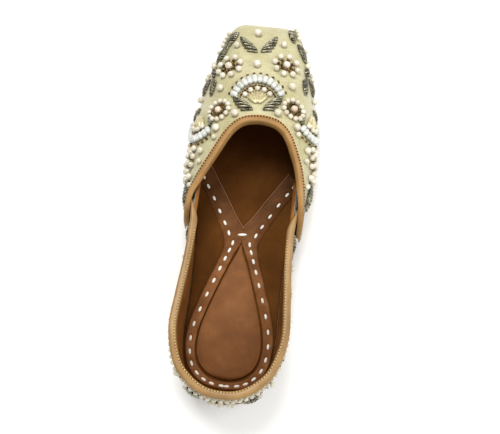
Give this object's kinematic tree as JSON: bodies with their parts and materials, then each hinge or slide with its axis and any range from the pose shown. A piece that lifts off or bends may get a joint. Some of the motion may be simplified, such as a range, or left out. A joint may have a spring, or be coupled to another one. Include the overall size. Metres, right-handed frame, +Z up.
{
  "type": "embroidered mojari shoe",
  "caption": "Flat slip-on dress shoe with a square toe, a beaded vamp lapped over a bound heel quarter, a leather sole with a low heel lift and a stitched insole.",
  "frame": {"origin": "middle of the shoe's bounding box, at floor level under the sole", "axes": "+Y from heel to toe along the middle of the sole, +Z up, X across the shoe"},
  "size_m": [0.0822, 0.256, 0.0535],
  "materials": {
    "outsole": "waxed sole leather",
    "heel_lift": "waxed sole leather",
    "insole": "matt brown lining leather",
    "heel_pad": "padded brown leather, worn smooth",
    "lining_margin": "brown lining leather with white hand stitches",
    "upper": "cream raw silk over brown leather lining, beaded",
    "vamp_binding": "satin tan kid, saddle-stitched",
    "quarter_binding": "satin tan kid, chain-stitched"
  },
  "bodies": {
    "root": {"outsole": "outsole", "heel_lift": "heel_lift", "insole": "insole", "heel_pad": "heel_pad", "lining_margin": "lining_margin", "upper": "upper", "vamp_binding": "vamp_binding", "quarter_binding": "quarter_binding"}
  },
  "joints": []
}
